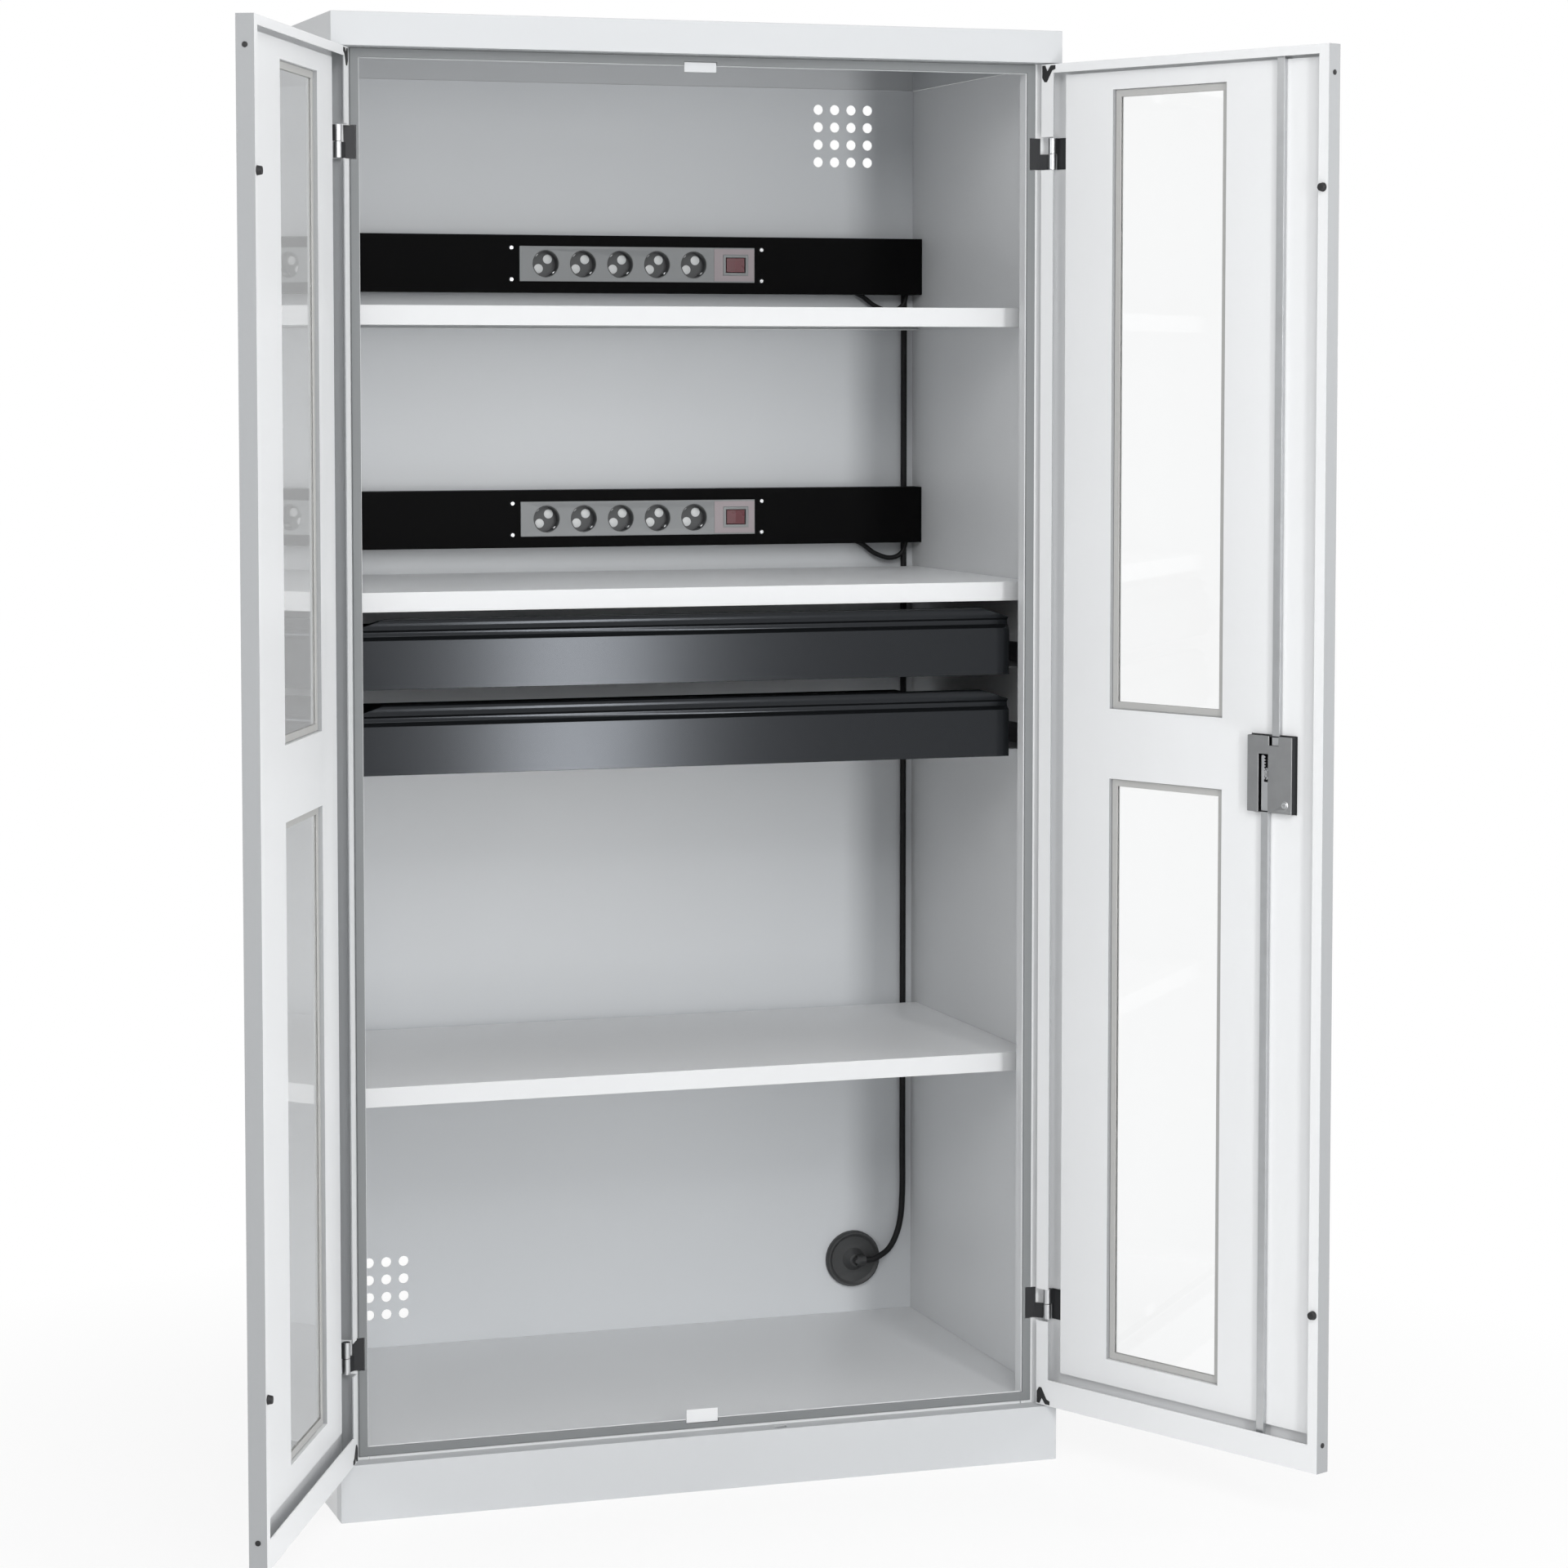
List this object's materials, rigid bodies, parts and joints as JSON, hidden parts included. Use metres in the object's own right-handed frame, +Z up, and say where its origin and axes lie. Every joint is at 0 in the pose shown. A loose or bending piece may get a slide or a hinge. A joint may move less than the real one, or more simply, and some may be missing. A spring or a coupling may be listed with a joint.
{
  "type": "battery charging cabinet",
  "caption": "Tall steel double-door cabinet with window doors, shelves, two wall-to-wall socket strips, pull-out drawers and a rod lock.",
  "frame": {"origin": "middle of the plinth's bottom front flange, on the floor under the cabinet's front", "axes": "+Z up, +X to the right of someone who faces the open cabinet, +Y from the front to the back wall"},
  "size_m": [1.4052, 1.0174, 1.95],
  "materials": {
    "body_paint": "fine textured light grey powder coat",
    "inner_paint": "smooth light grey powder coat",
    "black_paint": "matt black powder coat",
    "anthracite_paint": "metallic anthracite powder coat",
    "zinc_steel": "zinc plated steel",
    "dark_steel": "dark coated steel",
    "seal_rubber": "grey sealing rubber",
    "black_plastic": "moulded black plastic",
    "grey_plastic": "moulded grey plastic",
    "red_rocker": "dark red moulded plastic",
    "cable_sheath": "black cable sheath",
    "clear_pane": "clear acrylic pane"
  },
  "bodies": {
    "cabinet": {"side_panel_left": "body_paint", "side_panel_right": "body_paint", "back_panel": "inner_paint", "top_panel": "body_paint", "floor_panel": "body_paint", "plinth": "body_paint", "front_seal": "seal_rubber", "shelf_upper": "body_paint", "shelf_middle": "body_paint", "shelf_lower": "body_paint", "mains_inlet": "black_plastic", "trunk_cable": "cable_sheath", "power_rail_upper": "black_paint", "socket_strip_upper": "grey_plastic", "strip_lead_upper": "cable_sheath", "runner_cabinet_upper_left": "zinc_steel", "hinge_frame_leaf_upper_left": "dark_steel", "runner_cabinet_upper_right": "zinc_steel", "hinge_frame_leaf_upper_right": "dark_steel", "power_rail_lower": "black_paint", "socket_strip_lower": "grey_plastic", "strip_lead_lower": "cable_sheath", "runner_cabinet_lower_left": "zinc_steel", "hinge_frame_leaf_lower_left": "dark_steel", "runner_cabinet_lower_right": "zinc_steel", "hinge_frame_leaf_lower_right": "dark_steel"},
    "door_left": {"door_pan_left": "body_paint", "window_pane_upper_left": "clear_pane", "window_seal_upper_left": "seal_rubber", "hinge_door_leaf_upper_left": "dark_steel", "door_buffer_upper_left": "black_plastic", "window_pane_lower_left": "clear_pane", "window_seal_lower_left": "seal_rubber", "hinge_door_leaf_lower_left": "dark_steel", "door_buffer_lower_left": "black_plastic"},
    "door_right": {"door_pan_right": "body_paint", "window_pane_upper_right": "clear_pane", "window_seal_upper_right": "seal_rubber", "hinge_door_leaf_upper_right": "dark_steel", "door_buffer_upper_right": "black_plastic", "window_pane_lower_right": "clear_pane", "window_seal_lower_right": "seal_rubber", "hinge_door_leaf_lower_right": "dark_steel", "door_buffer_lower_right": "black_plastic", "lock_case": "dark_steel", "lock_cover": "dark_steel"},
    "lock_gear": {"door_handle": "black_plastic", "lock_pinion": "zinc_steel"},
    "bolt_upper": {"rod_upper": "zinc_steel"},
    "bolt_lower": {"rod_lower": "zinc_steel"},
    "runner_upper": {"runner_middle_upper_left": "zinc_steel", "runner_middle_upper_right": "zinc_steel"},
    "drawer_upper": {"drawer_tray_upper": "anthracite_paint", "drawer_front_upper": "anthracite_paint"},
    "rocker_upper": {"rocker_switch_upper": "red_rocker"},
    "runner_lower": {"runner_middle_lower_left": "zinc_steel", "runner_middle_lower_right": "zinc_steel"},
    "drawer_lower": {"drawer_tray_lower": "anthracite_paint", "drawer_front_lower": "anthracite_paint"},
    "rocker_lower": {"rocker_switch_lower": "red_rocker"}
  },
  "joints": [
    {"name": "door_left_hinge", "type": "hinge", "parent": "cabinet", "child": "door_left", "pos_m": [-0.49, -0.00325, 1], "axis": [0, 0, 1], "range_deg": [0, 114.7]},
    {"name": "door_right_hinge", "type": "hinge", "parent": "cabinet", "child": "door_right", "pos_m": [0.49, -0.00325, 1], "axis": [0, 0, -1], "range_deg": [0, 114.7]},
    {"name": "handle_turn", "type": "hinge", "parent": "door_right", "child": "lock_gear", "pos_m": [0.66372, -0.35702, 0.975], "axis": [-0.9085, -0.4179, 0], "range_deg": [0, 90]},
    {"name": "upper_rod_slide", "type": "slide", "parent": "door_right", "child": "bolt_upper", "axis": [0, 0, 1], "range_m": [0, 0.01375]},
    {"name": "lower_rod_slide", "type": "slide", "parent": "door_right", "child": "bolt_lower", "axis": [0, 0, -1], "range_m": [0, 0.01375]},
    {"name": "drawer_upper_slide", "type": "slide", "parent": "cabinet", "child": "drawer_upper", "axis": [0, 1, 0], "range_m": [-0.4, 0]},
    {"name": "runner_upper_slide", "type": "slide", "parent": "cabinet", "child": "runner_upper", "axis": [0, 1, 0], "range_m": [-0.2, 0]},
    {"name": "rocker_upper_tilt", "type": "hinge", "parent": "cabinet", "child": "rocker_upper", "pos_m": [0.208, 0.52385, 1.647], "axis": [0, 0, 1], "range_deg": [0, 14]},
    {"name": "drawer_lower_slide", "type": "slide", "parent": "cabinet", "child": "drawer_lower", "axis": [0, 1, 0], "range_m": [-0.4, 0]},
    {"name": "runner_lower_slide", "type": "slide", "parent": "cabinet", "child": "runner_lower", "axis": [0, 1, 0], "range_m": [-0.2, 0]},
    {"name": "rocker_lower_tilt", "type": "hinge", "parent": "cabinet", "child": "rocker_lower", "pos_m": [0.208, 0.52385, 1.282], "axis": [0, 0, 1], "range_deg": [0, 14]}
  ],
  "couplings": [
    {"joint": "upper_rod_slide", "follows": "handle_turn", "m_per_rad": 0.00875},
    {"joint": "lower_rod_slide", "follows": "handle_turn", "m_per_rad": 0.00875},
    {"joint": "runner_upper_slide", "follows": "drawer_upper_slide", "ratio": 0.5},
    {"joint": "runner_lower_slide", "follows": "drawer_lower_slide", "ratio": 0.5}
  ]
}
